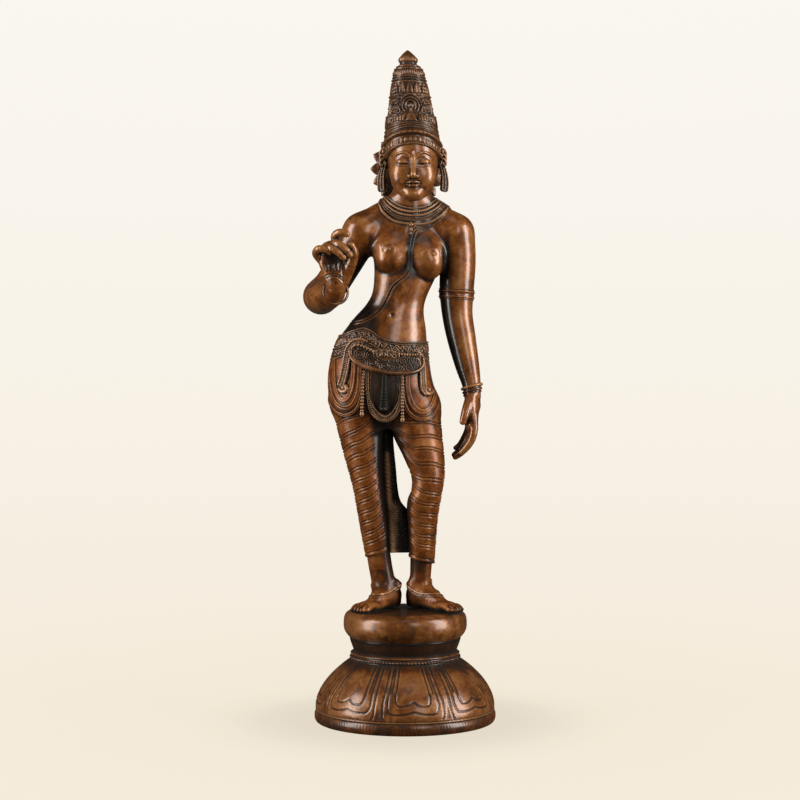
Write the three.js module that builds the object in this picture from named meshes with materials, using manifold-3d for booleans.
// Standing goddess figure in cast bronze on its round lotus pedestal. Millimetres, +Z up.
// She faces -Y and +X is the viewer's right, so her own right arm and leg are on the -X side.
// The origin is the centre of the pedestal's underside.
import * as THREE from "three";
import { mergeVertices } from "three/addons/utils/BufferGeometryUtils.js";
import Module from "manifold-3d";

const wasm = await Module();
wasm.setup();

// Driving size of the figure. Its pose, proportions and carving are shares of its height, so the
// tables below count in 510ths of it, from the soles up.
const FIGURE_HEIGHT = 510;
const UNIT = FIGURE_HEIGHT / 510;

// Driving sizes of the pedestal, whose drum is as wide as the feet need
const DRUM_MARGIN = 2.7;
const DRUM_HEIGHT = 25;
const DRUM_ROUNDING = 4;
const DRUM_OVERHANG = 5.5;
const NECK_FLARE = 4.5;
const NECK_HEIGHT = 12.5;
const COLLAR_STEP = 3;
const COLLAR_HEIGHT = 6.5;
const COLLAR_ROUNDING = 1.4;
const DOME_LEDGE = 1;
const DOME_HEIGHT = 45;
const DOME_SPREAD = 31;
const DOME_FULLNESS = 1.8;
const RIM_STEP = 1.1;
const RIM_HEIGHT = 11;
const RIM_ROUNDING = 2.2;
const PETALS = 8;
const PETAL_SIDES = 6;
const PETAL_RELIEF = 1.6;
const DOME_TOP = RIM_HEIGHT + DOME_HEIGHT;
const COLLAR_TOP = DOME_TOP + COLLAR_HEIGHT;
const PEDESTAL_TOP = COLLAR_TOP + NECK_HEIGHT + DRUM_HEIGHT;

const TURN = Math.PI * 2;
const FRONT = -Math.PI / 2;

// Upright forms, as stations [height, x, y, half width, half depth] from low to high
const TORSO = [
  [166, -15.5, 1, 34, 15],
  [178, -16.6, 2, 45.5, 24],
  [192, -19.4, 3.5, 47.9, 29],
  [208, -22.6, 4, 46.4, 30.5],
  [225, -23.2, 3.5, 44.2, 30],
  [245, -20.8, 2.5, 40.6, 27.5],
  [258, -16.9, 2, 35.6, 24.5],
  [268, -13.6, 1.5, 30.8, 22],
  [277, -9.4, 1.5, 26.8, 20],
  [287, -5, 1.5, 25.4, 20],
  [300, -0.9, 2.5, 27.4, 21.5],
  [318, 3, 3.5, 31.6, 22],
  [333, 3.4, 4, 38, 20.5],
  [347, 3.6, 3.5, 42, 18],
  [358, 3.6, 3, 44, 15],
  [366, 3.6, 2.5, 35, 12],
  [373, 4.6, 2, 25, 12],
  [380, 5.6, 1, 17, 12],
];
const NECK = [
  [345, 5, 3, 24, 18],
  [358, 5.2, 1, 20.5, 17.5],
  [372, 5.6, 0.5, 18.6, 17],
  [398, 6.8, 2, 18, 17],
];
const HEAD = [
  [371, 7.2, -9, 5.5, 8],
  [374.5, 7.2, -7.5, 12, 13],
  [381, 7.2, -5, 17.4, 18.5],
  [390, 7.2, -2.8, 21.2, 22.8],
  [402, 7.2, -1.5, 23.2, 25],
  [416, 7.2, -0.5, 23.6, 26],
  [430, 7, 0.5, 23.2, 25.5],
  [440, 6.6, 1, 21.5, 23.5],
];
const RIGHT_LEG = [
  [48, -24.3, 9.5, 11.8, 12.6],
  [65, -26.4, 7.5, 12.8, 14.4],
  [80, -28.6, 5, 13.2, 15.6],
  [95, -30.8, 2, 13.5, 15.6],
  [108, -32.8, -0.5, 13.8, 15.4],
  [122, -35.1, -1, 15, 16.5],
  [140, -37, 0, 18.2, 19],
  [155, -38.3, 1, 20.8, 21],
  [172, -40.3, 2, 23, 23],
  [190, -42.6, 2.5, 24.4, 24.5],
  [203, -40, 0, 18, 18],
];
const LEFT_LEG = [
  [46, 15.4, 9.5, 11.7, 12.4],
  [65, 15.9, 6.5, 12.4, 14.4],
  [80, 16, 3, 13.4, 15.8],
  [92, 16.4, -1, 14.5, 16],
  [101, 17.6, -4.5, 14.8, 15.8],
  [110, 20, -6.5, 13.9, 15.6],
  [122, 20.8, -6.5, 14.9, 16.6],
  [140, 17, -4.5, 18.4, 19.2],
  [155, 12.5, -2.5, 21.4, 21.2],
  [172, 8.6, -0.5, 23.8, 23],
  [190, 5, 1, 24, 24.5],
  [203, 2, 0, 18, 18],
];
const RIGHT_SHIN = [
  [4, -18.8, 12.5, 12.2, 12.4],
  [14, -18.8, 12, 12, 11.4],
  [26, -20.2, 11.8, 11.2, 10.4],
  [40, -22.8, 10.8, 10.9, 10.8],
  [54, -25, 9, 10.6, 11.8],
];
const LEFT_SHIN = [
  [4, 14, 12.5, 11.2, 12.4],
  [14, 13.8, 12, 10.2, 11.4],
  [26, 14, 11.8, 9.5, 10.2],
  [40, 14.7, 10.6, 9.9, 10.8],
  [54, 15.5, 8.6, 10.5, 11.8],
];

// Rounded forms of the trunk, as [x, y, height, half width, half depth, half height]
const BREASTS = [[-13.2, -14, 321, 15.2, 15, 15.6], [20.8, -14, 317, 14.8, 15, 15.4]];
const SEAT = [[-40, 14, 206, 26, 23, 27], [-7, 14, 202, 25, 23, 27]];
const SHOULDERS = [[-38.5, 3, 343.5, 18.6, 17, 18.4], [43.5, 3, 343, 19, 17, 18.2]];

// Plain ideal face, with levels as shares of the way from chin to crown, and its ears
const NOSE = [[0.78, -2, 1.6, 2], [0.64, 0, 2, 2.6], [0.53, 1, 2.8, 3]];
const MOUTH = { level: 0.32, sink: 0.8, radii: [5.4, 2.4, 2.6] };
const EYE = { level: 0.66, side: 9.4, sink: 1, radii: [5.4, 2.2, 2.2] };
const EAR = [[24, 4, 419, 2.6, 5], [27.4, 3, 405, 3, 5.5], [28.4, 1, 392, 2.8, 4.6], [28, 0, 382, 2.6, 3.6]];

// Crown, as stations [height, half width] with a step for each tier, on an axis that leans to her right
const CROWN_FOOT = [6.6, 1.5];
const CROWN_TIP = [2.3, 2];
const CROWN = [
  [424, 23.6], [428, 26.6], [433, 27], [436, 25.2], [447, 24], [449, 22.2], [452, 20.8],
  [461, 20.8], [463, 18.9], [471, 18.9], [474, 17.2], [479, 17], [482, 15.2], [489, 14.8],
  [492, 12.4], [498.5, 8.6], [501, 9.2], [505, 6.2], [510, 1.2],
];
const CROWN_BOSS = { level: 0.41, radius: 8, relief: 4, sink: 2.6 };
const HEAD_DISC = { centre: [3.2, 23, 405], petals: 16, reach: 35, valley: 30.5, halfThickness: 2.4 };

// Limbs, as stations [x, y, height, half breadth, half thickness] from the body outwards
const RIGHT_UPPER_ARM = [
  [-39.5, 3, 343, 16.4, 16],
  [-47, 4, 330, 16.6, 16.2],
  [-56, 5, 314.5, 15.8, 15.8],
  [-66.5, 6, 298, 15.6, 15.6],
  [-76.5, 6.5, 285, 15, 15.4],
];
const RIGHT_FOREARM = [
  [-77.5, 12, 285, 14.8, 14.4],
  [-74.5, -8, 283.5, 14.8, 14.4],
  [-68.6, -24, 283, 13, 12.6],
  [-64, -42, 284.5, 10.6, 10],
  [-61, -55, 287, 9.2, 8.6],
];
const RIGHT_PALM = [
  [-61, -54, 284, 8.8, 8],
  [-60.4, -60, 292, 9.4, 7.2],
  [-60.6, -63, 302, 11, 6],
  [-62.6, -64, 312, 12.4, 5],
  [-64.4, -64.5, 319, 12.4, 4.4],
];
const LEFT_ARM = [
  [45, 3, 343, 16.6, 16],
  [47.4, 4, 332, 17, 16.6],
  [48.2, 4.8, 314, 16.4, 16.4],
  [47.2, 5.6, 292, 15.6, 16],
  [47.8, 6, 270, 13.9, 14.4],
  [51.4, 4, 248, 13.2, 13],
  [56.6, 1, 223, 11, 11],
  [60.3, -1.5, 206, 8.5, 9.2],
  [61.4, -2.5, 192, 7.4, 9],
];
const LEFT_PALM = [
  [61.4, -2.5, 198, 7, 9],
  [61.4, -3.5, 188, 6.2, 11.4],
  [60.8, -4.2, 177, 5.8, 12.4],
  [60, -4.8, 168, 5, 11.4],
];

// Rings on the arms, as [share of the arm, half width, relief]
const ARMLET = [[0.405, 0.018, 1.6]];
const LEFT_BANGLE = [[0.9, 0.024, 1.8]];
const RIGHT_BANGLE = [[0.84, 0.035, 2]];

// Fingers and thumbs, as stations [x, y, height, radius]
const RIGHT_FINGERS = [
  [[-72, -62, 311, 3.6], [-77.4, -67, 318, 3.6], [-74, -73, 322, 3.4], [-66, -76, 321, 3]],
  [[-68, -62, 313, 3.8], [-68, -69, 322, 3.7], [-60.5, -76, 322.5, 3.4], [-54, -77, 317.5, 3]],
  [[-63, -62, 318, 3.8], [-61.6, -68, 327.5, 3.7], [-54.5, -75, 326.5, 3.4], [-48, -76.5, 319.5, 3]],
  [[-60, -62, 318, 3.8], [-62, -67, 331, 3.7], [-56.5, -72, 335, 3.4], [-50, -74, 332.6, 3]],
  [[-53, -60, 298, 5], [-47.4, -65, 309, 4.4], [-45, -70, 317, 3.8], [-45.4, -73, 323, 3.2]],
];
const LEFT_FINGERS = [
  [[62, -12, 178, 3.6], [62.6, -13.5, 164, 3.5], [58.6, -13.5, 153, 3.2], [51.6, -12.5, 145, 2.8]],
  [[60, -7.2, 176, 3.8], [59.6, -8, 160, 3.5], [54, -8, 149.6, 3.2], [47.4, -7.6, 143, 2.6]],
  [[58.6, -1.8, 176, 3.8], [57.6, -2, 160, 3.5], [52.4, -2.2, 149.6, 3.2], [46, -2.4, 142.6, 2.6]],
  [[58.6, 3.4, 177, 3.4], [57.4, 3.4, 163, 3.2], [53, 3, 153.6, 2.9], [47.6, 2.4, 147, 2.4]],
  [[58.6, -9, 194, 4.2], [55.6, -14, 184, 3.9], [53, -16.6, 176, 3.2]],
];

// Feet, from heel to the line where the toes begin, and on each side the great toe first. The instep is
// [share of the way, height, half breadth, half thickness] and a toe is [reach past the line, radius].
const RIGHT_FOOT = { heel: [-13, 19], toeLine: [-34, -13], outward: -1 };
const LEFT_FOOT = { heel: [11, 19], toeLine: [37.5, -13], outward: 1 };
const INSTEP = [[-0.16, 7, 8, 7], [0.2, 9, 9.5, 11], [0.5, 7.6, 10.5, 9.4], [0.9, 3.8, 12.5, 5]];
const TOES = [[17, 4], [15.5, 3], [13.5, 2.8], [11.5, 2.6], [9.5, 2.4]];
const GREAT_TOE_SIDE = -8.7;
const TOE_SPACING = 4.75;

// Lines laid on the front, as [x, height, half breadth, half thickness]
const CHEST_CORD = [
  [33, 357], [24, 345], [14, 335], [5, 325], [1, 305], [-6, 290], [-16, 279], [-26, 266], [-38, 258],
];
const CHEST_CORD_RADIUS = 1.8;
const COLLAR = { level: 0.4, middle: 5, half: 29, drop: 15, radius: 2.2 };
const PENDANT = { aside: 0.6, hang: 12, radii: [2.6, 2.4, 7] };
const CLASP = [
  [-45, 232, 4, 4.2], [-30, 225, 7, 4.4], [-16, 223, 8, 4.4], [-2, 224, 7.4, 4.4], [8, 228, 5, 4],
];
const APRON = [[-19.3, -26, 219, 13, 5], [-19.3, -27.5, 201, 13.6, 5], [-19.3, -26, 186, 11.6, 5]];
const BEAD_STRINGS = [
  [[-36, 216, 2.2], [-37.4, 200, 2.2], [-39, 180, 2.2]],
  [[-3.3, 213, 2.2], [-2.6, 195, 2.2], [-2.2, 176, 2.2]],
];
const RIBBONS = [
  [[-43, 234, 3, 2.6], [-49, 222, 3.4, 2.6], [-57, 202, 3.8, 2.6]],
  [[10, 229, 3, 2.6], [12, 214, 3.4, 2.6], [16, 197, 3.8, 2.6]],
];
const THIGH_LOOP_RADIUS = 2;
const THIGH_LOOPS = [
  { centre: -52, half: 11.5, top: 226, bottom: 185 },
  { centre: 11.5, half: 11.5, top: 220, bottom: 178 },
];
const SASH = [
  [-17.5, 2, 184, 10, 9], [-17.5, 4, 160, 8.5, 6.6], [-16, 6, 135, 7.5, 6],
  [-13, 7.5, 108, 8, 5.8], [-9.6, 8.5, 82, 10, 5.4], [-7.8, 9.5, 55, 11.5, 5.4],
];

// Raised folds cross the cloth of each leg and climb towards its inner side
const FOLD_RELIEF = 0.9;
const LEG_FOLDS = [
  { leg: RIGHT_LEG, inner: 1, count: 12, top: 173, bottom: 60, riseTop: 5.5, riseBottom: 4.5 },
  { leg: LEFT_LEG, inner: -1, count: 10, top: 161, bottom: 57, riseTop: 8, riseBottom: 2.5 },
];

// The hip belt dips to her left
const BELT_HALF_WIDTH = 10.5;
const BELT_RELIEF = 1.6;
const BELT_MIDDLE = 243;
const BELT_CLIMB = -7;
const BELT_EDGE = 0.8;

// Value lists between stations whose first number rises, by a cubic through the stations
function between(stations, height) {
  const last = stations.length - 1;
  let i = 0;
  while (i < last - 1 && stations[i + 1][0] < height) i++;
  const [low, high] = [stations[i], stations[i + 1]];
  const before = stations[Math.max(i - 1, 0)];
  const after = stations[Math.min(i + 2, last)];
  const span = high[0] - low[0];
  const t = THREE.MathUtils.clamp((height - low[0]) / span, 0, 1);
  const square = t * t;
  const cube = square * t;
  return low.slice(1).map((value, k) => {
    const next = high[k + 1];
    const leave = ((next - before[k + 1]) / (high[0] - before[0])) * span;
    const arrive = ((after[k + 1] - value) / (after[0] - low[0])) * span;
    const ends = value * (2 * cube - 3 * square + 1) + next * (3 * square - 2 * cube);
    return ends + leave * (cube - 2 * square + t) + arrive * (cube - square);
  });
}

// Evenly spaced values from first to last
function steps(first, last, count) {
  return Array.from({ length: count }, (_, i) => THREE.MathUtils.lerp(first, last, i / (count - 1)));
}

// A point on an upright form, lifted off its surface
function onForm(form, height, angle, lift = 0) {
  const [x, y, halfWidth, halfDepth] = between(form, height);
  const reach = [(halfWidth + lift) * Math.cos(angle), (halfDepth + lift) * Math.sin(angle)];
  return new THREE.Vector3(x + reach[0], y + reach[1], height);
}

// A point on the front of whichever upright form stands foremost at x
function onFront(forms, x, height, lift = 0) {
  let front = Infinity;
  for (const form of forms) {
    if (height < form[0][0] || height > form[form.length - 1][0]) continue;
    const [cx, cy, halfWidth, halfDepth] = between(form, height);
    const share = Math.min(Math.abs(x - cx) / halfWidth, 1);
    front = Math.min(front, cy - halfDepth * Math.sqrt(1 - share * share));
  }
  return new THREE.Vector3(x, front - lift, height);
}

// A three.js geometry as a solid
function solidOf(geometry) {
  geometry.deleteAttribute("normal");
  geometry.deleteAttribute("uv");
  const merged = mergeVertices(geometry, 1e-4);
  return new wasm.Manifold(
    new wasm.Mesh({
      numProp: 3,
      vertProperties: merged.getAttribute("position").array,
      triVerts: new Uint32Array(merged.index.array),
    }),
  );
}

// A closed skin: ring(row, angle) gives its points, and the first and last rows are one point each
function skin(sides, rows, ring) {
  const geometry = new THREE.SphereGeometry(1, sides, rows);
  const position = geometry.getAttribute("position");
  for (let i = 0; i < position.count; i++) {
    const side = (i % (sides + 1)) % sides;
    const point = ring(Math.floor(i / (sides + 1)), (side / sides) * TURN);
    position.setXYZ(i, point.x, point.y, point.z);
  }
  return solidOf(geometry);
}

// An upright form through levels [height, relief, climb towards +X], from high to low, with flat ends
function upright(form, sides, levels) {
  const last = levels.length - 1;
  return skin(sides, levels.length + 1, (row, angle) => {
    const [height, relief, climb] = levels[THREE.MathUtils.clamp(row - 1, 0, last)];
    if (row > 0 && row <= last + 1) return onForm(form, height + climb * Math.cos(angle), angle, relief);
    const [x, y] = between(form, height);
    return new THREE.Vector3(x, y, height);
  });
}

// Plain levels over an upright form's whole height
function plainLevels(form, count) {
  return steps(form[form.length - 1][0], form[0][0], count).map((height) => [height, 0, 0]);
}

// A limb along stations [x, y, z, half breadth, half thickness], flat where it starts and round at its
// tip, with raised rings [share, half width, relief]
function limb(stations, sides, rings, upward = new THREE.Vector3(0, 1, 0), raised = []) {
  const curve = new THREE.CatmullRomCurve3(stations.map((s) => new THREE.Vector3(s[0], s[1], s[2])));
  const girths = stations.map((s, i) => [i / (stations.length - 1), s[3], s[4] ?? s[3]]);
  const clear = (t) => raised.every(([share, half]) => Math.abs(t - share) > half * 1.5);
  const levels = steps(0, 1, rings).filter(clear).map((t) => [t, 0]);
  for (const [share, half, relief] of raised) {
    levels.push([share - half, 0], [share - half * 0.7, relief]);
    levels.push([share + half * 0.7, relief], [share + half, 0]);
  }
  levels.sort((a, b) => a[0] - b[0]);
  const last = levels.length + 2;
  return skin(sides, last, (row, angle) => {
    const [t, relief] = levels[THREE.MathUtils.clamp(row - 1, 0, levels.length - 1)];
    const [breadth, thickness] = between(girths, t);
    const tangent = curve.getTangent(t);
    const side = new THREE.Vector3().crossVectors(upward, tangent).normalize();
    const face = new THREE.Vector3().crossVectors(side, tangent).normalize();
    const round = { [last - 1]: [0.7, 0.7], [last]: [1, 0] }[row] ?? [0, row ? 1 : 0];
    return curve
      .getPoint(t)
      .addScaledVector(tangent, round[0] * Math.min(breadth, thickness))
      .addScaledVector(side, Math.cos(angle) * (breadth + relief) * round[1])
      .addScaledVector(face, Math.sin(angle) * (thickness + relief) * round[1]);
  });
}

// A cord of round section through points
function cord(points, radius, sides, rings) {
  const stations = points.map(({ x, y, z }) => [x, y, z, radius]);
  return limb(stations, sides, rings, new THREE.Vector3(0.1, 1, 0.2));
}

function ball([x, y, z, rx, ry, rz], sides, rows) {
  const geometry = new THREE.SphereGeometry(1, sides, rows).rotateX(Math.PI / 2);
  return solidOf(geometry.scale(rx, ry, rz).translate(x, y, z));
}

function joined(solids) {
  return wasm.Manifold.union(solids);
}

// Trunk with its hip belt, neck, breasts and seat
function trunk() {
  const belt = [-1, -BELT_EDGE, BELT_EDGE, 1].map((side) => [
    BELT_MIDDLE - side * BELT_HALF_WIDTH,
    Math.abs(side) < 1 ? BELT_RELIEF : 0,
    BELT_CLIMB,
  ]);
  const clear = ([height]) => Math.abs(height - BELT_MIDDLE) > BELT_HALF_WIDTH + Math.abs(BELT_CLIMB);
  const levels = [...plainLevels(TORSO, 15).filter(clear), ...belt].sort((a, b) => b[0] - a[0]);
  return joined([
    upright(TORSO, 14, levels),
    upright(NECK, 10, plainLevels(NECK, 3)),
    ...BREASTS.map((breast) => ball(breast, 10, 6)),
    ...SEAT.map((half) => ball(half, 8, 5)),
  ]);
}

// One leg's cloth, crossed by its folds down to the hem
function clothedLeg({ leg, inner, count, top, bottom, riseTop, riseBottom }) {
  const spacing = (top - bottom) / (count - 1);
  const high = leg[leg.length - 1][0];
  const levels = [[high, 0, 0], [(high + top) / 2, 0, 0]];
  for (const height of steps(top, bottom, count)) {
    const climb = inner * THREE.MathUtils.mapLinear(height, bottom, top, riseBottom, riseTop);
    levels.push([height + spacing * 0.3, 0, climb], [height, FOLD_RELIEF, climb]);
  }
  levels.push([leg[0][0], 0, 0]);
  return upright(leg, 8, levels);
}

// Places on a foot, by distance from the heel along it, outward from its middle line, and height
function onFoot({ heel, toeLine, outward }) {
  const start = new THREE.Vector2(...heel);
  const along = new THREE.Vector2(...toeLine).sub(start);
  const length = along.length();
  along.normalize();
  const across = new THREE.Vector2(-along.y, along.x).multiplyScalar(outward);
  const at = (reach, side, height) => {
    const place = start.clone().addScaledVector(along, reach).addScaledVector(across, side);
    return [place.x, place.y, height];
  };
  return { at, length };
}

// A splayed foot with five toes
function foot(sole) {
  const { at, length } = onFoot(sole);
  const level = new THREE.Vector3(0, 0, 1);
  const instep = INSTEP.map(([share, height, ...girth]) => [...at(share * length, 0, height), ...girth]);
  const toes = TOES.map(([reach, radius], i) => {
    const side = GREAT_TOE_SIDE + TOE_SPACING * i;
    const ends = [length * 0.85, length + reach - radius];
    return limb(ends.map((end) => [...at(end, side, radius), radius]), 4, 2, level);
  });
  return joined([limb(instep, 8, INSTEP.length, level), ...toes]);
}

// How far the furthest toe reaches from the pedestal's axis
function feetReach() {
  const tips = [RIGHT_FOOT, LEFT_FOOT].flatMap((sole) => {
    const { at, length } = onFoot(sole);
    return TOES.map(([reach], i) => at(length + reach, GREAT_TOE_SIDE + TOE_SPACING * i, 0));
  });
  return Math.max(...tips.map(([x, y]) => Math.hypot(x, y))) * UNIT;
}

function arms() {
  const fingers = [...RIGHT_FINGERS, ...LEFT_FINGERS];
  const outward = new THREE.Vector3(0.3, 0.2, 1);
  const level = new THREE.Vector3(0, 0, 1);
  return joined([
    ...SHOULDERS.map((shoulder) => ball(shoulder, 8, 6)),
    limb(RIGHT_UPPER_ARM, 8, RIGHT_UPPER_ARM.length),
    limb(RIGHT_FOREARM, 8, 4, level, RIGHT_BANGLE),
    limb(RIGHT_PALM, 8, 3),
    limb(LEFT_ARM, 8, LEFT_ARM.length, undefined, [...ARMLET, ...LEFT_BANGLE]),
    limb(LEFT_PALM, 8, 3),
    ...fingers.map((finger) => limb(finger, 4, 3, outward)),
  ]);
}

function head() {
  const [chin, middle] = HEAD[0];
  const onFace = (side, level, lift) => {
    const height = THREE.MathUtils.lerp(chin, CROWN[0][0], level);
    return onFront([HEAD], middle + side, height, lift).toArray();
  };
  const pieces = [
    upright(HEAD, 12, plainLevels(HEAD, 7)),
    limb(NOSE.map(([level, lift, ...girth]) => [...onFace(0, level, lift), ...girth]), 5, NOSE.length),
    ball([...onFace(0, MOUTH.level, -MOUTH.sink), ...MOUTH.radii], 6, 4),
  ];
  for (const side of [-1, 1]) {
    pieces.push(ball([...onFace(side * EYE.side, EYE.level, -EYE.sink), ...EYE.radii], 6, 4));
    pieces.push(limb(EAR.map(([x, ...rest]) => [middle + side * x, ...rest]), 6, EAR.length));
  }
  return joined(pieces);
}

// Crown of stepped tiers on a leaning axis, with a boss in front
function crown() {
  const [low, high] = [CROWN[0][0], CROWN[CROWN.length - 1][0]];
  const axis = (height) => {
    const share = (height - low) / (high - low);
    return CROWN_FOOT.map((foot, k) => THREE.MathUtils.lerp(foot, CROWN_TIP[k], share));
  };
  const tiers = [...CROWN].reverse();
  const last = tiers.length + 1;
  const shaft = skin(14, last, (row, angle) => {
    const [height, radius] = tiers[THREE.MathUtils.clamp(row - 1, 0, tiers.length - 1)];
    const reach = row > 0 && row < last ? radius : 0;
    const [x, y] = axis(height);
    return new THREE.Vector3(x + reach * Math.cos(angle), y + reach * Math.sin(angle), height);
  });
  const { level, radius, relief, sink } = CROWN_BOSS;
  const height = THREE.MathUtils.lerp(low, high, level);
  const [girth] = between(CROWN, height);
  const [x, y] = axis(height);
  return joined([shaft, ball([x, y - girth + sink, height, radius, relief, radius], 8, 6)]);
}

// Petalled disc behind the head
function headDisc() {
  const { centre, petals, reach, valley, halfThickness } = HEAD_DISC;
  const rows = [[0, 1], [0.85, 1], [1, 0], [0.85, -1], [0, -1]];
  return skin(petals * 2, rows.length - 1, (row, angle) => {
    const inward = Math.round((angle / TURN) * petals * 2) % 2;
    const [share, front] = rows[row];
    const radius = share * (inward ? valley : reach);
    const face = [radius * Math.cos(angle), -front * halfThickness, radius * Math.sin(angle)];
    return new THREE.Vector3(...face).add(new THREE.Vector3(...centre));
  });
}

// Collar at a level of the neck, its pendant, and the cord across the chest
function chestJewellery() {
  const { level, middle, half, drop, radius } = COLLAR;
  const ends = THREE.MathUtils.lerp(NECK[0][0], NECK[NECK.length - 1][0], level);
  const collar = steps(-1, 1, 9).map((side) => {
    const height = ends - drop * Math.pow(Math.cos((side * Math.PI) / 2), 1.3);
    return onFront([TORSO, NECK], middle + half * side, height);
  });
  const thread = CHEST_CORD.map(([x, height]) => onFront([TORSO], x, height, 0.3));
  const pendant = onFront([TORSO], middle + PENDANT.aside, ends - drop - PENDANT.hang, 0.5).toArray();
  return joined([
    cord(collar, radius, 4, 9),
    cord(thread, CHEST_CORD_RADIUS, 4, 10),
    ball([...pendant, ...PENDANT.radii], 6, 4),
  ]);
}

// Clasp, apron, bead strings, thigh loops, ribbon ends and the long sash between the legs
function girdle() {
  const cloth = [TORSO, RIGHT_LEG, LEFT_LEG];
  const laid = (points, lift) => points.map(([x, z, ...girth]) => [...onFront(cloth, x, z, lift), ...girth]);
  const pieces = [limb(laid(CLASP, 0.5), 6, 5), limb(APRON, 8, 4), limb(SASH, 6, 6)];
  for (const string of BEAD_STRINGS) pieces.push(limb(laid(string, 0.6), 4, 3));
  for (const ribbon of RIBBONS) pieces.push(limb(laid(ribbon, 0.4), 4, 3));
  for (const { centre, half, top, bottom } of THIGH_LOOPS) {
    const points = steps(0, Math.PI, 7).map((turn) => {
      const height = THREE.MathUtils.lerp(top, bottom, Math.pow(Math.sin(turn), 0.7));
      return onFront(cloth, centre - half * Math.cos(turn), height, 0.4);
    });
    pieces.push(cord(points, THIGH_LOOP_RADIUS, 4, 7));
  }
  return joined(pieces);
}

// The whole casting, trimmed so that the soles are flat
function figureSolid() {
  const whole = joined([
    trunk(),
    ...LEG_FOLDS.map(clothedLeg),
    upright(RIGHT_SHIN, 8, plainLevels(RIGHT_SHIN, 4)),
    upright(LEFT_SHIN, 8, plainLevels(LEFT_SHIN, 4)),
    foot(RIGHT_FOOT),
    foot(LEFT_FOOT),
    arms(),
    head(),
    crown(),
    headDisc(),
    chestJewellery(),
    girdle(),
  ]);
  return whole.trimByPlane([0, 0, 1], 0).scale(UNIT);
}

// The pedestal's outline [radius, height, share of the way up the petals], from the underside up
function pedestalOutline() {
  const drumRadius = feetReach() + DRUM_MARGIN;
  const neckRadius = drumRadius - DRUM_OVERHANG - NECK_FLARE;
  const collarRadius = neckRadius + COLLAR_STEP;
  const domeTopRadius = collarRadius + DOME_LEDGE;
  const domeRadius = domeTopRadius + DOME_SPREAD;
  const rimRadius = domeRadius + RIM_STEP;
  const outline = [
    [rimRadius - RIM_ROUNDING, 0],
    [rimRadius, RIM_ROUNDING],
    [rimRadius, RIM_HEIGHT - RIM_ROUNDING],
    [rimRadius - RIM_ROUNDING, RIM_HEIGHT],
  ];
  for (const share of steps(0, 1, 6)) {
    const radius = THREE.MathUtils.lerp(domeTopRadius, domeRadius, 1 - Math.pow(share, DOME_FULLNESS));
    outline.push([radius, THREE.MathUtils.lerp(RIM_HEIGHT + RIM_STEP, DOME_TOP, share), share]);
  }
  return [
    ...outline,
    [collarRadius, DOME_TOP + COLLAR_ROUNDING],
    [collarRadius, COLLAR_TOP - COLLAR_ROUNDING],
    [neckRadius, COLLAR_TOP],
    [neckRadius + NECK_FLARE, COLLAR_TOP + NECK_HEIGHT],
    [drumRadius, PEDESTAL_TOP - DRUM_HEIGHT + DRUM_ROUNDING],
    [drumRadius, PEDESTAL_TOP - DRUM_ROUNDING],
    [drumRadius - DRUM_ROUNDING, PEDESTAL_TOP],
  ];
}

// Lotus petals hang from the collar, one of them in front, each a raised leaf between two grooves
function petalRelief(share = 0, angle) {
  const turns = ((angle - FRONT) / TURN) * PETALS + 0.5;
  const across = Math.abs((((turns % 1) + 1) % 1) - 0.5) * 2;
  const leaf = across < 0.6 ? 1 : THREE.MathUtils.mapLinear(across, 0.6, 1, 0.6, -0.6);
  return leaf * PETAL_RELIEF * Math.sqrt(Math.sin(share * Math.PI));
}

function pedestalSolid() {
  const outline = pedestalOutline().reverse();
  const last = outline.length + 1;
  return skin(PETALS * PETAL_SIDES, last, (row, angle) => {
    const [radius, height, share] = outline[THREE.MathUtils.clamp(row - 1, 0, outline.length - 1)];
    const reach = row > 0 && row < last ? radius + petalRelief(share, angle) : 0;
    return new THREE.Vector3(reach * Math.cos(angle), reach * Math.sin(angle), height);
  });
}

function meshOf(solid, name, color, roughness) {
  const { vertProperties, triVerts } = solid.getMesh();
  const geometry = new THREE.BufferGeometry();
  geometry.setAttribute("position", new THREE.BufferAttribute(new Float32Array(vertProperties), 3));
  geometry.setIndex(new THREE.BufferAttribute(new Uint32Array(triVerts), 1));
  geometry.computeVertexNormals();
  const bronze = new THREE.MeshStandardMaterial({ color, roughness, metalness: 1 });
  const mesh = new THREE.Mesh(geometry, bronze);
  mesh.name = name;
  return mesh;
}

const pedestal = meshOf(pedestalSolid(), "lotus_pedestal", 0x6b3f22, 0.42);
const figure = meshOf(figureSolid(), "parvati_figure", 0x7a4a28, 0.36);
figure.position.z = PEDESTAL_TOP;

const model = new THREE.Group();
model.add(pedestal, figure);
export default model;
